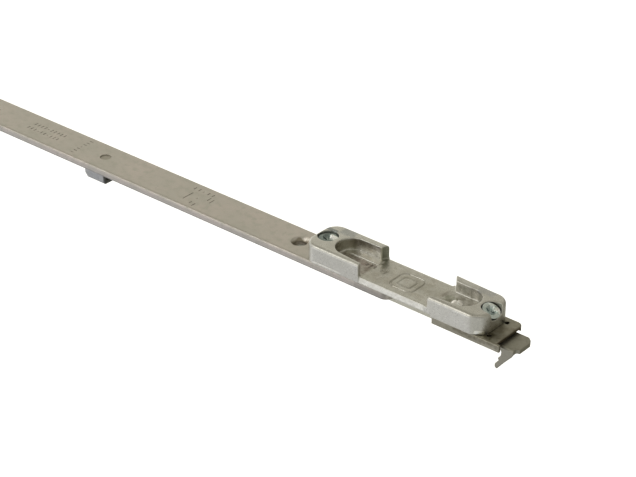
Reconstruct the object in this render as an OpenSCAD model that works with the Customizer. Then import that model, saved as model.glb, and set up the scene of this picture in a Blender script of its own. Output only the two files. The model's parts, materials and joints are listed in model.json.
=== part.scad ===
// Lever espagnolette for the inactive leaf of a double window.
// X runs along the bar, Y across it, Z out of the sash groove.
// The origin lies midway between the two fixing holes beside the gear
// case, on the underside of the faceplate.  Millimetres.

/* [Faceplate] */
// Width of the faceplate
face_w = 16; // [15:0.5:18]
// Thickness of the faceplate
face_t = 2.6; // [2.4:0.1:3]
// Right end of the faceplate, under the striker
face_right = 252.3; // [249.3:0.5:256.3]
// Left end of the faceplate
face_left = -122; // [-150:1:-120]
// Spacing of the two fixing holes beside the gear case
fix_pitch = 100; // [99:0.5:101]
// Third fixing hole, just left of the striker
fix_third = 207.3; // [200.3:0.5:207.3]
// Radius of the fixing holes
fix_r = 2.15; // [2:0.05:2.4]
// Radius of their countersinks at the top
fix_sink_r = 3.3; // [3:0.1:3.8]

/* [Drive rods] */
// Width of the drive rods
rod_w = 9.4; // [8.6:0.1:9.5]
// Thickness of the drive rods
rod_t = 1.5; // [1.2:0.1:1.5]
// Right-hand end of the right drive rod
rod_right = 302.5; // [301:0.1:304]
// Width of the hooked rod ends
claw_w = 10; // [9.5:0.1:10.4]

/* [Striker] */
// Where the mouth of the left pocket ends
strike_x = 240.3; // [236.3:0.5:242.3]
// Width over the two blocks
strike_w = 17; // [16:0.1:18]
// Thickness of the plate between the blocks
strike_base = 2.3; // [2:0.1:2.6]
// Height of the blocks over the faceplate
strike_h = 7.1; // [6.6:0.1:7.6]
// How much lower the right block is than the left one
strike_drop = 0.8; // [0:0.1:1]
// Lean of the screw in the right block, in degrees
screw_lean = 28; // [24:1:30]
// Rounding along the top edges of the blocks
strike_soft = 1.2; // [0.6:0.1:1.4]
// Half width of the pockets
pocket_r = 5.7; // [5.2:0.1:5.9]

/* [Gear case] */
// Turn of the lever from closed to open, in degrees
lever_turn = 150; // [120:1:150]
// Length of the lever from its axle
lever_len = 105; // [90:1:110]
// Width of the lever's grip
grip_w = 12; // [10:0.5:13]
// Depth of the case below the faceplate
case_depth = 22; // [22:0.5:26]
// Thickness of the case plates
plate_t = 1.1; // [0.8:0.05:1.1]

/* [Hidden] */
$fn = 64;
e = 0.01;
big = 60;

// Gear train: lever gear, double rack, reversing pinion, lower rack.
hub_x = 4;
hub_z = 0.6;
m1 = 1.0;
z1 = 14;
m2 = 0.8;
z2 = 10;
pa = 25;
r1 = m1 * z1 / 2;
r2 = m2 * z2 / 2;
add1 = 0.85;
ded1 = 1.05;
add2 = 0.7;
ded2 = 0.85;
lash = 0.16;
travel = r1 * lever_turn * PI / 180;
za1 = hub_z - r1;
web_lo = za1 - ded1 - 1.65;
za2 = web_lo - ded2;
pin_z = za2 - r2;
zb = pin_z - r2;
rack_b_bot = zb - ded2 - 2;
rod_top = -0.1;
rod_bot = rod_top - rod_t;
rack_w = 9.2;
post_a0 = hub_x + 34;
post_a1 = hub_x + 39;
post_b0 = hub_x - 49;
post_b1 = hub_x - 43.5;
case_x0 = -46;
case_x1 = 43;
plate_y = 6 - plate_t;
rod_left = face_left - 10;
guide_xr = 112;
guide_xl = -93;
stud_x = strike_x + 34.7;
sleeve_x0 = strike_x + 30.3;
sleeve_x1 = strike_x + 55.6;
sleeve_top = 1.8;
z_face = face_t;
z_floor = face_t + strike_base;
z_rim = face_t + strike_h;
str_x0 = strike_x - 24.6;
str_x1 = strike_x + 50.4;
z_rim_r = z_rim - strike_drop;
scr_l = strike_x - 20.3;
scr_r = strike_x + 47.8;
scr_rz = z_rim_r - 1.25;

steel = [0.62, 0.60, 0.54];
rodsteel = [0.60, 0.58, 0.52];
zinc = [0.74, 0.74, 0.73];
diecast = [0.66, 0.66, 0.68];
blued = [0.42, 0.52, 0.55];
dark = [0.36, 0.36, 0.36];

// --- helpers ------------------------------------------------------------
function inv(a) = tan(a) * 180 / PI - a;
function pol(r, a) = [r * cos(a), r * sin(a)];

// One involute tooth, centred on the angle c, from r_in to the tip.
module tooth2d(m, z, add, ded, c, r_in) {
    r = m * z / 2;
    rb = r * cos(pa);
    hp = 90 / z - lash / 2 / r * 180 / PI + inv(pa);
    n = 5;
    rt = r + add;
    rr = [for (i = [0:n]) rb + (rt - rb) * i / n];
    fl = [for (q = rr) hp - inv(acos(rb / q))];
    polygon(concat(
        [pol(r_in, c - hp)],
        [for (i = [0:n]) pol(rr[i], c - fl[i])],
        [for (i = [n:-1:0]) pol(rr[i], c + fl[i])],
        [pol(r_in, c + hp)]));
}

// Rack teeth from tooth k0 to k1, pitch line at y, pointing up or down.
module rack2d(m, add, ded, x0, y, k0, k1, up) {
    p = PI * m;
    s = up ? 1 : -1;
    hw = p / 4 - lash / 2;
    for (k = [k0:k1]) translate([x0 + (k + 0.5) * p, y])
        polygon([[-s * (hw + (ded + 0.3) * tan(pa)), -s * (ded + 0.3)],
            [s * (hw + (ded + 0.3) * tan(pa)), -s * (ded + 0.3)],
            [s * (hw - add * tan(pa)), s * add],
            [-s * (hw - add * tan(pa)), s * add]]);
}

// Extrudes a shape drawn in X and Z, centred on Y = 0.
module along_y(w) {
    rotate([90, 0, 0]) linear_extrude(height = w, center = true) children();
}

module box(x0, x1, y0, y1, z0, z1) {
    translate([x0, y0, z0]) cube([x1 - x0, y1 - y0, z1 - z0]);
}

module round_rect2d(x0, x1, y0, y1, r) {
    translate([x0 + r, y0]) square([x1 - x0 - 2 * r, y1 - y0]);
    translate([x0, y0 + r]) square([x1 - x0, y1 - y0 - 2 * r]);
    for (x = [x0 + r, x1 - r], y = [y0 + r, y1 - r])
        translate([x, y]) circle(r);
}

// Half section with one rounded top edge, from x = 0 to x = a.
module soft_half2d(a, h, f) {
    square([a, h - f]);
    square([a - f, h]);
    translate([a - f, h - f]) circle(f);
}

// Bar with rounded corners in plan (rc) and rounded top edges (f).
module soft_bar(x0, x1, w, z0, z1, rc, f) {
    h = z1 - z0;
    y = w / 2;
    translate([x0 + rc, 0, z0]) rotate([90, 0, 90])
        linear_extrude(height = x1 - x0 - 2 * rc) {
            soft_half2d(y, h, f);
            mirror([1, 0]) soft_half2d(y, h, f);
        }
    translate([x1 - rc, 0, z0]) soft_end(rc, y, h, f);
    translate([x0 + rc, 0, z0]) rotate([0, 0, 180]) soft_end(rc, y, h, f);
}

module soft_end(rc, y, h, f) {
    translate([0, y - rc, 0]) rotate([90, 0, 0])
        linear_extrude(height = 2 * (y - rc)) soft_half2d(rc, h, f);
    translate([0, y - rc, 0]) rotate_extrude(angle = 90) soft_half2d(rc, h, f);
    translate([0, rc - y, 0]) rotate([0, 0, -90])
        rotate_extrude(angle = 90) soft_half2d(rc, h, f);
}

module slot_cut(x0, x1, r) {
    // through slot of half width r, from x0 to x1, in the drive rods
    for (x = [x0 + r, x1 - r]) translate([x, 0, -4]) cylinder(r = r, h = 6);
    box(x0 + r, x1 - r, -r, r, -4, 2);
}

module fix_hole(x) {
    translate([x, 0, -1]) cylinder(r = fix_r, h = 6);
    d = fix_sink_r - fix_r;
    translate([x, 0, face_t - d])
        cylinder(r1 = fix_r, r2 = fix_sink_r + e, h = d + e);
}

// --- faceplate ----------------------------------------------------------
module faceplate() {
    color(steel) difference() {
        soft_bar(face_left, face_right, face_w, 0, face_t, 3, 1);
        for (x = [-fix_pitch / 2, fix_pitch / 2, fix_third]) fix_hole(x);
        // opening for the lever housing
        box(hub_x - 16.1, hub_x + 22.1, -4.85, 4.85, -1, 4);
        // housing screws
        for (x = [hub_x - 22, hub_x + 28])
            translate([x, 0, -1]) cylinder(r = 1.5, h = 5);
        // guide rivets, with a sunk head
        for (x = [guide_xl, guide_xr]) {
            translate([x, 0, -1]) cylinder(r = 1.5, h = 5);
            translate([x, 0, face_t - 0.7]) cylinder(r = 2.15, h = 2);
        }
        // left screw of the striker
        translate([scr_l, 0, -1]) cylinder(r = 2.02, h = 5);
        // peg of the lever catch
        translate([-79, 0, -1]) cylinder(r = 1.5, h = 5);
        // staked tenons of the case plates
        for (x = [-34, 37.5], s = [-1, 1])
            box(x, x + 4, s > 0 ? plate_y : -6, s > 0 ? 6 : -plate_y, -1, 4);
    }
}

// --- striker ------------------------------------------------------------
module pocket_left2d() {
    translate([strike_x - 9.4, -0.4]) circle(pocket_r);
    polygon([[strike_x - 9.4, -pocket_r - 0.4], [strike_x - 0.9, -pocket_r - 1.15],
        [strike_x - 0.3, -pocket_r - 1.6], [strike_x - 0.1, -strike_w / 2 - 1],
        [strike_x + 3, -strike_w / 2 - 1],
        [strike_x + 3, strike_w / 2 + 0.2], [strike_x - 0.6, strike_w / 2 + 0.2],
        [strike_x - 2.4, pocket_r - 0.3], [strike_x - 9.4, pocket_r - 0.4]]);
}

module pocket_right2d() {
    c = strike_x + 37.8;
    translate([c, -0.4]) circle(pocket_r);
    polygon([[c, pocket_r - 0.6], [strike_x + 30.3, pocket_r - 0.6],
        [strike_x + 27.6, strike_w / 2 + 0.2], [strike_x + 25, strike_w / 2 + 0.2],
        [strike_x + 25, -strike_w / 2 - 1], [strike_x + 28.4, -strike_w / 2 - 1],
        [strike_x + 28.7, -pocket_r - 1.7], [strike_x + 29.4, -pocket_r - 1.35],
        [c, -pocket_r - 0.4]]);
}

module striker() {
    color(diecast) difference() {
        union() {
            // plate between the blocks, its sides leaning inwards
            translate([strike_x - 6, 0, 0]) rotate([90, 0, 90])
                linear_extrude(height = 40)
                    polygon([[-strike_w / 2, z_face], [strike_w / 2 - 0.5, z_face],
                        [strike_w / 2 - 0.75, z_floor], [-strike_w / 2 + 0.45, z_floor]]);
            // left block
            difference() {
                soft_bar(str_x0, str_x1, strike_w, z_face, z_rim, 5.3, strike_soft);
                box(strike_x, 400, -20, 20, 0, 30);
                translate([0, 0, z_floor]) linear_extrude(height = 20) pocket_left2d();
            }
            // step in the floor of the left pocket
            translate([0, 0, z_floor - e]) linear_extrude(height = 0.3 + e)
                intersection() {
                    translate([strike_x - 9.4, -0.4]) union() {
                        circle(pocket_r);
                        translate([0, -pocket_r]) square([9.4, 2 * pocket_r]);
                    }
                    translate([strike_x - 20, 1.9]) square([20.3, 3.4]);
                }
            // right block, on the lower sleeve
            difference() {
                soft_bar(str_x0, str_x1, strike_w, sleeve_top, z_rim_r, 5.3, strike_soft);
                box(0, strike_x + 27, -20, 20, 0, 30);
                translate([0, 0, z_floor]) linear_extrude(height = 20) pocket_right2d();
                // level with the sleeve only over the sleeve
                box(strike_x + 20, sleeve_x0 - 0.2, -20, 20, 0, z_face);
            }
        }
        // straight screw, left
        translate([scr_l, 0, z_rim - 1.7]) cylinder(r = 3.65, h = 5);
        translate([scr_l, 0, z_rim - 1.7 - 1.55])
            cylinder(r1 = 2.1, r2 = 3.65, h = 1.55 + e);
        translate([scr_l, 0, 0]) cylinder(r = 2.1, h = 12);
        // leaning screw, right
        translate([scr_r, 0, scr_rz]) rotate([0, screw_lean, 0]) {
            translate([0, 0, -0.5]) cylinder(r = 3.6, h = 9);
            translate([0, 0, -0.5 - 1.5]) cylinder(r1 = 2.1, r2 = 3.6, h = 1.5 + e);
            translate([0, 0, -14]) cylinder(r = 2.1, h = 14);
        }
        // guide stud
        translate([stud_x, 0, 0]) cylinder(r = 1.75, h = z_floor + 1);
    }
}

module cross_cut(s) {
    // cross recess with square-ended wings
    for (a = [0, 90]) rotate([0, 0, a])
        translate([-s, -s * 0.24, -1.3]) cube([2 * s, s * 0.48, 3]);
}

module striker_screw_left() {
    color(blued) translate([scr_l, 0, 0]) difference() {
        union() {
            translate([0, 0, z_rim - 1.7]) cylinder(r = 3.55, h = 0.5);
            translate([0, 0, z_rim - 1.7 - 1.5]) cylinder(r1 = 2, r2 = 3.55, h = 1.5);
            translate([0, 0, 0.15]) cylinder(r = 2, h = z_rim - 3.1);
        }
        translate([0, 0, z_rim - 1.2]) rotate([0, 0, 20]) cross_cut(1.9);
    }
}

module striker_screw_right() {
    color(zinc) translate([scr_r, 0, scr_rz]) rotate([0, screw_lean, 0]) difference() {
        union() {
            translate([0, 0, -0.5]) cylinder(r = 3.3, h = 0.45);
            translate([0, 0, -0.5 - 1.3]) cylinder(r1 = 2, r2 = 3.3, h = 1.3);
            translate([0, 0, -7]) cylinder(r = 2, h = 6);
        }
        translate([0, 0, -0.05]) rotate([0, 0, 35]) cross_cut(1.9);
    }
}

module guide_stud() {
    color(zinc) translate([stud_x, 0, 0]) difference() {
        union() {
            // low domed head in the pocket floor
            intersection() {
                translate([0, 0, z_floor - 2.1]) sphere(r = 3.0);
                translate([0, 0, z_floor + 0.02]) cylinder(r = 2.3, h = 2);
            }
            translate([0, 0, rod_bot - 0.15]) cylinder(r = 1.7, h = z_floor + 0.1 - rod_bot + 0.15);
            translate([0, 0, rod_bot - 1.25]) cylinder(r = 3.2, h = 1.1);
        }
        translate([0, 0, z_floor + 0.35]) rotate([0, 0, -47])
            translate([-4, -0.4, 0]) cube([8, 0.8, 2]);
    }
}

// --- end sleeve ---------------------------------------------------------
module end_sleeve() {
    color(steel) difference() {
        union() {
            intersection() {
                box(sleeve_x0, sleeve_x1, -face_w / 2, face_w / 2, -0.8, sleeve_top);
                linear_extrude(height = 8, center = true)
                    round_rect2d(sleeve_x0 - 6, sleeve_x1, -face_w / 2, face_w / 2, 2);
            }
            // nose of the front flange
            box(sleeve_x1 - 4, strike_x + 57.3, -face_w / 2, -face_w / 2 + 1, -0.8, sleeve_top);
        }
        box(sleeve_x0 - 1, sleeve_x1 + 4, -7, 7, -2, sleeve_top - 1.2);
        translate([stud_x, 0, -2]) cylinder(r = 1.75, h = 6);
        translate([scr_r, 0, scr_rz]) rotate([0, screw_lean, 0])
            translate([0, 0, -14]) cylinder(r = 2.02, h = 12);
        for (s = [-1, 1]) translate([strike_x + 51.1, s * 4.9, -2]) cylinder(r = 0.8, h = 6);
    }
}

// --- guide blocks -------------------------------------------------------
module guide_block(x, s) {
    // s = 1 puts the chamfered end to the left
    color(diecast) translate([x, 0, 0]) mirror([s > 0 ? 0 : 1, 0, 0]) difference() {
        union() {
            difference() {
                along_y(12) polygon([[-5.4, -3.1], [-4.1, -4.7], [5.3, -4.7],
                    [4.2, 0], [-5.4, 0]]);
                box(-8, 8, -rod_w / 2 - 0.15, rod_w / 2 + 0.15, -3.4, 1);
            }
            translate([0, 0, -3.5]) cylinder(r = 3, h = 3.5 + rod_bot - 0.15);
        }
        translate([0, 0, -8]) cylinder(r = 1.5, h = 12);
    }
}
module guide_block_right() { guide_block(guide_xr, 1); }
module guide_block_left() { guide_block(guide_xl, -1); }

module guide_rivets() {
    color(steel) for (x = [guide_xl, guide_xr]) translate([x, 0, 0]) {
        translate([0, 0, face_t - 0.7]) cylinder(r = 2.1, h = 0.35);
        translate([0, 0, -4.8]) cylinder(r = 1.5, h = face_t + 4.3);
        translate([0, 0, -5.3]) cylinder(r = 2.4, h = 0.6);
    }
}

// --- gear case ----------------------------------------------------------
module plate_holes2d() {
    translate([hub_x, pin_z]) circle(1.5);
    for (q = spacers) translate([q[0], q[1]]) circle(1.2);
}

// centre of each spacer, and its radius between the plates
spacers = [[hub_x - 12, za1 + add1 + 2.25, 2], [hub_x + 12, za1 + add1 + 2.25, 2],
    [hub_x - 10, zb + add2 + 1.75, 1.5], [hub_x + 10, zb + add2 + 1.75, 1.5],
    [case_x1 - 5, pin_z, 2]];

module case_plate(s) {
    color(steel) translate([0, s * (6 - plate_t / 2), 0]) along_y(plate_t)
        difference() {
            union() {
                polygon([[case_x0, -case_depth + 3], [case_x0 + 3, -case_depth],
                    [case_x1 - 5, -case_depth], [case_x1, -case_depth + 5],
                    [case_x1, 0], [case_x0, 0]]);
                for (x = [-34, 37.5]) translate([x, -e]) square([4, face_t - 0.05 + e]);
            }
            plate_holes2d();
        }
}
module case_plate_front() { case_plate(-1); }
module case_plate_rear() { case_plate(1); }

module case_floor() {
    color(steel) box(case_x0 + 3, case_x1 - 5, -plate_y, plate_y,
        -case_depth, rack_b_bot - 0.2);
}

module case_spacers() {
    color(zinc) for (q = spacers) translate([q[0], 0, q[1]]) rotate([90, 0, 0]) {
        cylinder(r = q[2], h = 2 * plate_y, center = true);
        cylinder(r = 1.2, h = 12, center = true);
    }
}

module pinion_axle() {
    color(zinc) translate([hub_x, 0, pin_z]) rotate([90, 0, 0])
        cylinder(r = 1.5, h = 12, center = true);
}

// --- lever --------------------------------------------------------------
module cheek2d() {
    // around the axle, in X and Z from the axle's centre
    intersection() {
        circle(7.9);
        translate([-20, -hub_z]) square([40, 30]);
    }
    circle(4.9);
    polygon([[-13, 2.9], [13, 2.9], [5.6, 5.6], [-5.6, 5.6]]);
}

module lever_housing() {
    color(diecast) difference() {
        union() {
            translate([0, 0, z_face]) linear_extrude(height = 1.2)
                round_rect2d(hub_x - 26, hub_x + 32, -7.4, 7.4, 2.5);
            box(hub_x - 16, hub_x + 22, -4.8, 4.8, 0, z_face + 0.5);
            translate([hub_x, 0, hub_z]) along_y(9.6) cheek2d();
        }
        box(hub_x - 14.5, hub_x + 21, -3.1, 3.1, -10, 12);
        translate([hub_x, 0, hub_z]) rotate([90, 0, 0])
            cylinder(r = 2.01, h = 30, center = true);
        for (x = [hub_x - 22, hub_x + 28]) {
            translate([x, 0, 0]) cylinder(r = 1.52, h = 8);
            translate([x, 0, z_face + 1.2 - 1.1]) cylinder(r1 = 1.5, r2 = 2.65, h = 1.15);
        }
    }
}

module housing_screws() {
    color(zinc) for (x = [hub_x - 22, hub_x + 28]) translate([x, 0, 0]) difference() {
        union() {
            translate([0, 0, 0.2]) cylinder(r = 1.5, h = z_face);
            translate([0, 0, z_face + 0.1]) cylinder(r1 = 1.5, r2 = 2.55, h = 1.05);
        }
        translate([0, 0, z_face + 1.15]) rotate([0, 0, 15])
            for (a = [0, 90]) rotate([0, 0, a])
                translate([-1.3, -0.3, -0.8]) cube([2.6, 0.6, 3]);
    }
}

module lever_axle() {
    color(zinc) translate([hub_x, 0, hub_z]) rotate([90, 0, 0])
        cylinder(r = 2, h = 9.6, center = true);
}

module lever_catch() {
    color(dark) union() {
        box(-84, -74, -3.9, 3.9, z_face, z_face + 0.8);
        translate([-79, 0, 0.15]) cylinder(r = 1.5, h = z_face);
        // two springy cheeks inside the grip
        translate([-82.5, 0, 0]) rotate([90, 0, 90]) linear_extrude(height = 7)
            for (s = [-1, 1]) mirror([s < 0 ? 1 : 0, 0]) polygon([[2.8, z_face + 0.5],
                [3.6, z_face + 0.5], [3.6, z_face + 1.9], [4.1, z_face + 2.5],
                [3.6, z_face + 3.3], [2.8, z_face + 3.6]]);
    }
}

module lever() {
    gl = lever_len;
    color(diecast) translate([hub_x, 0, hub_z]) difference() {
        union() {
            // hub with its sector of teeth
            along_y(5.8) union() {
                circle(5.9);
                for (k = [-1:6]) tooth2d(m1, z1, add1, ded1, -90 + k * 360 / z1, 5.6);
                // neck, rising over the end of the housing
                polygon([[0, 5.9], [-4, 6.35], [-12, 6.9], [-24, 7.0], [-30, 7.2],
                    [-30, 3.5], [-15, 3.5], [-12, 2.7], [-5.2, -2.6], [0, 0]]);
            }
            // grip
            intersection() {
                along_y(grip_w + 2) polygon([[-26, 3.5], [-28.5, 3.5], [-30, 2.4],
                    [3 - gl, 2.4 + 1.4], [-gl - 1, 5.2], [-gl - 1, 7.0], [4 - gl, 7.8],
                    [-34, 7.8], [-26, 7.0]]);
                translate([0, 0, -5]) linear_extrude(height = 20) union() {
                    translate([grip_w / 2 - gl, 0]) circle(grip_w / 2);
                    translate([grip_w / 2 - gl, -grip_w / 2])
                        square([gl - grip_w / 2 - 33, grip_w]);
                    polygon([[-33.2, -grip_w / 2], [-26, -2.9], [-26, 2.9],
                        [-33.2, grip_w / 2]]);
                }
            }
        }
        // hollow underside of the grip
        translate([0, 0, 0]) linear_extrude(height = 6.2)
            round_rect2d(9 - gl, -35, -grip_w / 2 + 1.6, grip_w / 2 - 1.6, 1.5);
        rotate([90, 0, 0]) cylinder(r = 2.05, h = 30, center = true);
    }
}

// --- racks, pinion and rods ----------------------------------------------
module reversing_pinion() {
    color(zinc) translate([hub_x, 0, pin_z]) difference() {
        along_y(7) union() {
            circle(r2 - ded2);
            for (k = [0:z2 - 1]) tooth2d(m2, z2, add2, ded2, -90 + k * 360 / z2, r2 - ded2 - 0.3);
        }
        rotate([90, 0, 0]) cylinder(r = 1.55, h = 30, center = true);
    }
}

module right_rack() {
    color(dark) difference() {
        union() {
            along_y(rack_w) union() {
                translate([hub_x - 6, web_lo])
                    square([post_a1 - hub_x + 6, za1 - ded1 - web_lo]);
                intersection() {
                    union() {
                        rack2d(m1, add1, ded1, hub_x, za1, -2, 8, true);
                        rack2d(m2, add2, ded2, hub_x, za2, -3, 9, false);
                    }
                    translate([hub_x - 6, -30]) square([40, 40]);
                }
                translate([hub_x + 28, za2 - add2])
                    square([post_a1 - hub_x - 28, za1 + add1 - za2 + add2]);
                translate([post_a0, web_lo]) square([post_a1 - post_a0, rod_bot - web_lo]);
            }
        }
        for (s = [-1, 1]) translate([(post_a0 + post_a1) / 2, s * 2.6, rod_bot - 4])
            cylinder(r = 1, h = 6);
    }
}

module rivets(x) {
    for (s = [-1, 1]) translate([x, s * 2.6, 0]) {
        translate([0, 0, rod_bot - 3.9]) cylinder(r = 1, h = 3.9 + rod_t - 0.3);
        translate([0, 0, rod_top - 0.7]) cylinder(r1 = 1, r2 = 1.65, h = 0.65);
    }
}
module rivet_holes(x) {
    for (s = [-1, 1]) translate([x, s * 2.6, 0]) {
        translate([0, 0, rod_bot - 1]) cylinder(r = 1, h = 4);
        translate([0, 0, rod_top - 0.7]) cylinder(r1 = 1, r2 = 1.7 + e, h = 0.7 + e);
    }
}
module right_rack_rivets() { color(zinc) rivets((post_a0 + post_a1) / 2); }
module left_rack_rivets() { color(zinc) rivets((post_b0 + post_b1) / 2); }

// Hooked end of a drive rod; its tip is at x = 0 and the rod runs to -X.
module claw_end() {
    // plate
    translate([0, 0, rod_bot]) linear_extrude(height = rod_t)
        polygon([[-12, -claw_w / 2], [-1.9, -claw_w / 2], [-1.4, -3.6], [0, -3.2],
            [0, claw_w / 2 - 2.6], [-2.2, claw_w / 2], [-12, claw_w / 2]]);
    // bent-down tab with its hook
    translate([0, -claw_w / 2 + 0.65, 0]) along_y(1.3)
        polygon([[-6.3, rod_top - 0.02], [-1.9, rod_top - 0.02], [-1.3, -1.8],
            [-7.7, -9.5], [-8.4, -7.6], [-7.2, -6.5], [-7.4, -5.7], [-6.1, -4.3]]);
}

module right_drive_rod() {
    tr = travel;
    color(rodsteel) difference() {
        union() {
            box(post_a0, rod_right - 11, -rod_w / 2, rod_w / 2, rod_bot, rod_top);
            translate([rod_right, 0, 0]) claw_end();
        }
        rivet_holes((post_a0 + post_a1) / 2);
        slot_cut(fix_pitch / 2 - 2.4, fix_pitch / 2 + tr + 2.4, 2.4);
        slot_cut(guide_xr - 1.8, guide_xr + tr + 1.8, 1.8);
        slot_cut(fix_third - 2.4, fix_third + tr + 2.4, 2.4);
        slot_cut(stud_x - 1.95, stud_x + tr + 1.95, 1.95);
    }
}

module left_rack() {
    color(dark) difference() {
        along_y(rack_w) union() {
            translate([post_b0, rack_b_bot]) square([hub_x + 6 - post_b0, zb - ded2 - rack_b_bot]);
            intersection() {
                rack2d(m2, add2, ded2, hub_x, zb, -9, 1, true);
                translate([hub_x - 30, -30]) square([36, 40]);
            }
            translate([post_b0, rack_b_bot]) square([post_b1 - post_b0, rod_bot - rack_b_bot]);
        }
        for (s = [-1, 1]) translate([(post_b0 + post_b1) / 2, s * 2.6, rod_bot - 4])
            cylinder(r = 1, h = 6);
    }
}

module left_drive_rod() {
    tr = travel;
    color(rodsteel) difference() {
        union() {
            box(rod_left + 11, post_b1, -rod_w / 2, rod_w / 2, rod_bot, rod_top);
            translate([rod_left, 0, 0]) mirror([1, 0, 0]) claw_end();
        }
        rivet_holes((post_b0 + post_b1) / 2);
        slot_cut(-fix_pitch / 2 - tr - 2.4, -fix_pitch / 2 + 2.4, 2.4);
        slot_cut(guide_xl - tr - 1.8, guide_xl + 1.8, 1.8);
    }
}

faceplate();
striker();
striker_screw_left();
striker_screw_right();
guide_stud();
end_sleeve();
guide_block_right();
guide_block_left();
guide_rivets();
case_plate_front();
case_plate_rear();
case_floor();
case_spacers();
lever_housing();
housing_screws();
lever_axle();
lever_catch();
pinion_axle();
lever();
reversing_pinion();
right_rack();
right_drive_rod();
right_rack_rivets();
left_rack();
left_drive_rod();
left_rack_rivets();
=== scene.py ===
import json
import math

import bmesh
import bpy
import numpy as np
from mathutils import Matrix, Vector

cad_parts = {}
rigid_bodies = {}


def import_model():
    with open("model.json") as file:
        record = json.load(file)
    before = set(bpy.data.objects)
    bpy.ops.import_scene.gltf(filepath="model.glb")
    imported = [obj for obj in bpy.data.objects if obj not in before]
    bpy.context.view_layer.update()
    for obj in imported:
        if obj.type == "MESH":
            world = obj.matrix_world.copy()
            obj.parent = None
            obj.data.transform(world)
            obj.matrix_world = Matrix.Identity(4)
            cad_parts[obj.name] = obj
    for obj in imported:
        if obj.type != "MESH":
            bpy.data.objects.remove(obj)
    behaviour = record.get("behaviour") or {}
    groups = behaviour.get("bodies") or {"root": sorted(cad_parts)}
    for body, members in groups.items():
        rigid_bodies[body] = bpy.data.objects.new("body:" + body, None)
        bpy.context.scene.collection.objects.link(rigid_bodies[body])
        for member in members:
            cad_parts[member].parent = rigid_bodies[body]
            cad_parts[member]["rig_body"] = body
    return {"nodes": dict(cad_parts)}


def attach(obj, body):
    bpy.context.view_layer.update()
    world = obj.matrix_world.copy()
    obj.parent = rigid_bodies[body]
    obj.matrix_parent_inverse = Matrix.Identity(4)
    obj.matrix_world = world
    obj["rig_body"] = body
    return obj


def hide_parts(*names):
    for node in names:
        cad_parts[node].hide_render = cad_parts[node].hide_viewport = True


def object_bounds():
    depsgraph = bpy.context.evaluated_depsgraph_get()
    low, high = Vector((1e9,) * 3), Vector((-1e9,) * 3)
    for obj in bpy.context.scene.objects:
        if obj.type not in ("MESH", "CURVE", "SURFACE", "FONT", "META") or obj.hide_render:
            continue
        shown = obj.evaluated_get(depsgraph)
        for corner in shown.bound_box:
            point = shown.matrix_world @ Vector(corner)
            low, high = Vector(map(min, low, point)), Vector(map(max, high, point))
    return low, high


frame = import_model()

cad_lo, cad_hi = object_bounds()
NODES = frame["nodes"]
BODY = {n: o["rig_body"] for n, o in NODES.items()}
scene = bpy.context.scene
MM = 0.001

# The same dimensions as in the part's source, in millimetres.
FACE_L, FACE_R, FACE_W, FACE_T = -122.0, 252.3, 16.0, 2.6
STRIKE = 240.3
STR_X0, STR_X1, STR_W = STRIKE - 24.6, STRIKE + 50.4, 17.0
Z_FLOOR, Z_RIM, Z_RIM_R = 4.9, 9.7, 8.9
SCR_L, SCR_R, SCR_RZ, LEAN = STRIKE - 20.3, STRIKE + 48.2, 7.65, 28.0
STUD_X = STRIKE + 34.7
SLEEVE_X0, SLEEVE_X1, SLEEVE_TOP = STRIKE + 30.3, STRIKE + 55.6, 1.8
ROD_W, ROD_T, ROD_TOP = 9.4, 1.5, -0.1
ROD_BOT = ROD_TOP - ROD_T
GUIDE_R, GUIDE_L = 112.0, -93.0
POCKET_R = 5.7


# --------------------------------------------------------------------------
# Camera
# --------------------------------------------------------------------------
def make_camera():
    data = bpy.data.cameras.new("photo_camera")
    cam = bpy.data.objects.new("photo_camera", data)
    scene.collection.objects.link(cam)
    yaw, pitch = math.radians(-40.39), math.radians(30.33)
    f = Vector((math.sin(yaw) * math.cos(pitch), math.cos(yaw) * math.cos(pitch), -math.sin(pitch)))
    r = Vector((math.cos(yaw), -math.sin(yaw), 0))
    u = r.cross(f)
    eye = (0.5972, -0.4487, 0.3514)
    cam.matrix_world = Matrix((
        (r.x, u.x, -f.x, eye[0]), (r.y, u.y, -f.y, eye[1]),
        (r.z, u.z, -f.z, eye[2]), (0, 0, 0, 1)))
    data.sensor_width = 36
    data.lens = 36 * 2000 / 636
    data.clip_start, data.clip_end = 0.01, 20
    scene.camera = cam


# --------------------------------------------------------------------------
# Distance fields, in millimetres, and the mesher for cast and formed pieces
# --------------------------------------------------------------------------
def axes(lo, hi, h):
    n = [int(math.ceil((hi[i] - lo[i]) / h)) + 1 for i in range(3)]
    g = [np.float32(lo[i]) + np.arange(n[i], dtype=np.float32) * np.float32(h) for i in range(3)]
    return g[0][:, None, None], g[1][None, :, None], g[2][None, None, :]


def smin(a, b, k):
    h = np.maximum(k - np.abs(a - b), 0) / k
    return np.minimum(a, b) - h * h * k * 0.25


def smax(a, b, k):
    return -smin(-a, -b, k)


def rrect(x, y, x0, x1, y0, y1, r):
    qx = np.abs(x - (x0 + x1) / 2) - (x1 - x0) / 2 + r
    qy = np.abs(y - (y0 + y1) / 2) - (y1 - y0) / 2 + r
    return np.sqrt(np.maximum(qx, 0) ** 2 + np.maximum(qy, 0) ** 2) + np.minimum(np.maximum(qx, qy), 0) - r


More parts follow.
